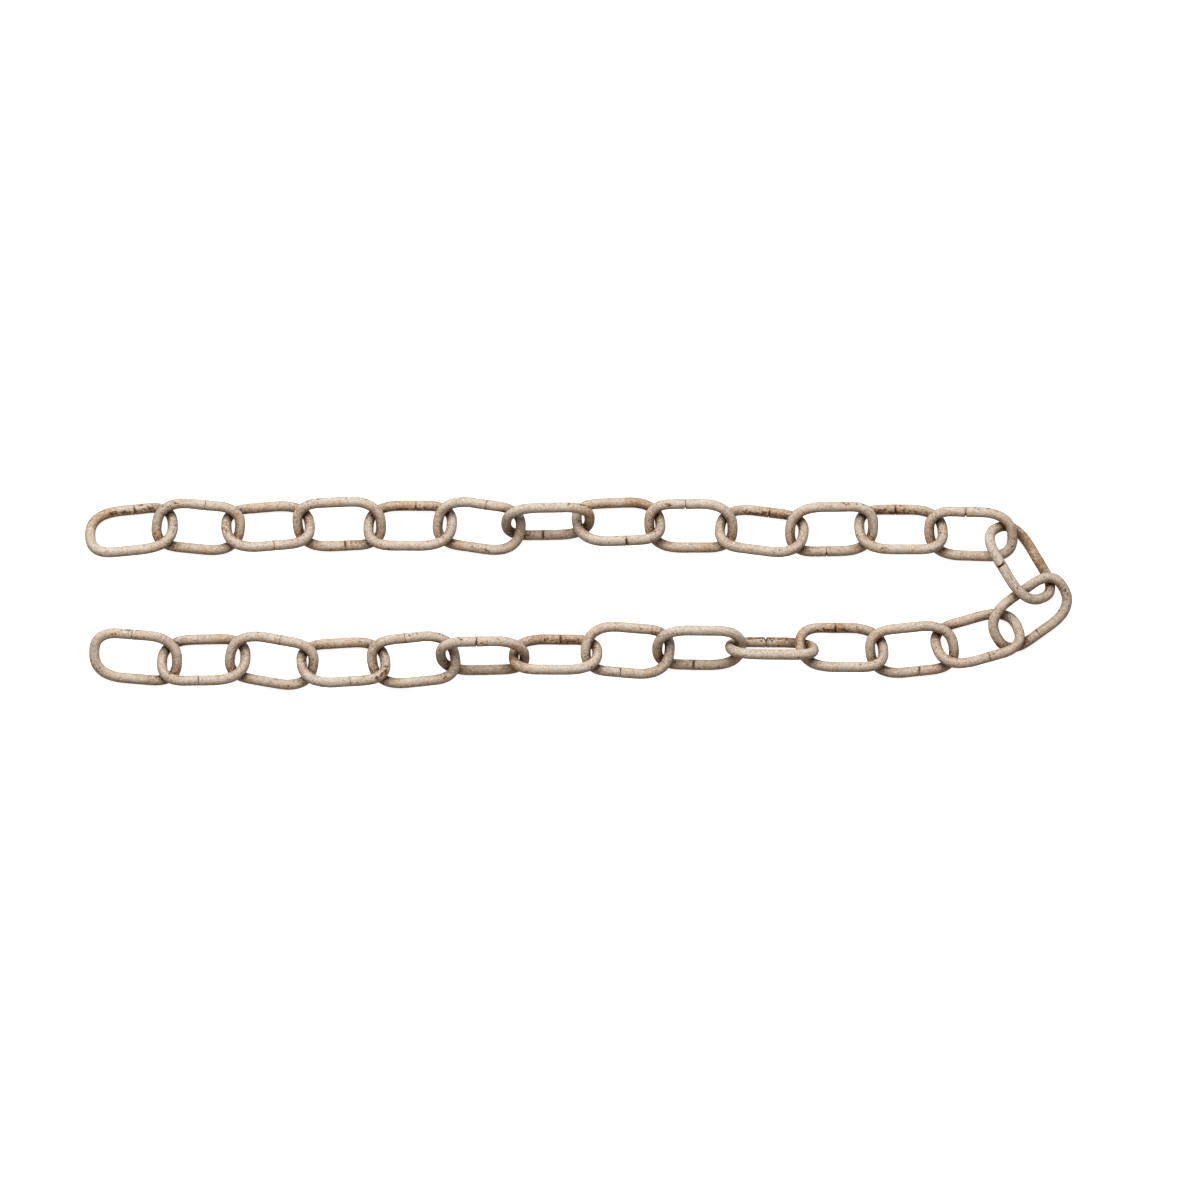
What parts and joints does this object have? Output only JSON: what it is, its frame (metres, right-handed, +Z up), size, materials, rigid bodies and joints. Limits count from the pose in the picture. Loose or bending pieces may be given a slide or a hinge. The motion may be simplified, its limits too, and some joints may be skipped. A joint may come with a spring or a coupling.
{
  "type": "length of steel chain",
  "caption": "Length of oval-link chain of bent steel wire with a chalky worn coating, laid on the floor as a narrow hairpin with every link threaded through the next.",
  "frame": {"origin": "middle of the laid chain's footprint, on the floor", "axes": "+X along the two runs towards the bend of the hairpin, +Y across from the lower-numbered run's far side, +Z up from the floor"},
  "size_m": [0.476, 0.0931, 0.0246],
  "materials": {
    "coated_steel": "matte chalky whitewash, worn and mottled over rust brown"
  },
  "bodies": {
    "root": {"link_01": "coated_steel", "link_02": "coated_steel", "link_03": "coated_steel", "link_04": "coated_steel", "link_05": "coated_steel", "link_06": "coated_steel", "link_07": "coated_steel", "link_08": "coated_steel", "link_09": "coated_steel", "link_10": "coated_steel", "link_11": "coated_steel", "link_12": "coated_steel", "link_13": "coated_steel", "link_14": "coated_steel", "link_15": "coated_steel", "link_16": "coated_steel", "link_17": "coated_steel", "link_18": "coated_steel", "link_19": "coated_steel", "link_20": "coated_steel", "link_21": "coated_steel", "link_22": "coated_steel", "link_23": "coated_steel", "link_24": "coated_steel", "link_25": "coated_steel", "link_26": "coated_steel", "link_27": "coated_steel", "link_28": "coated_steel"}
  },
  "joints": []
}
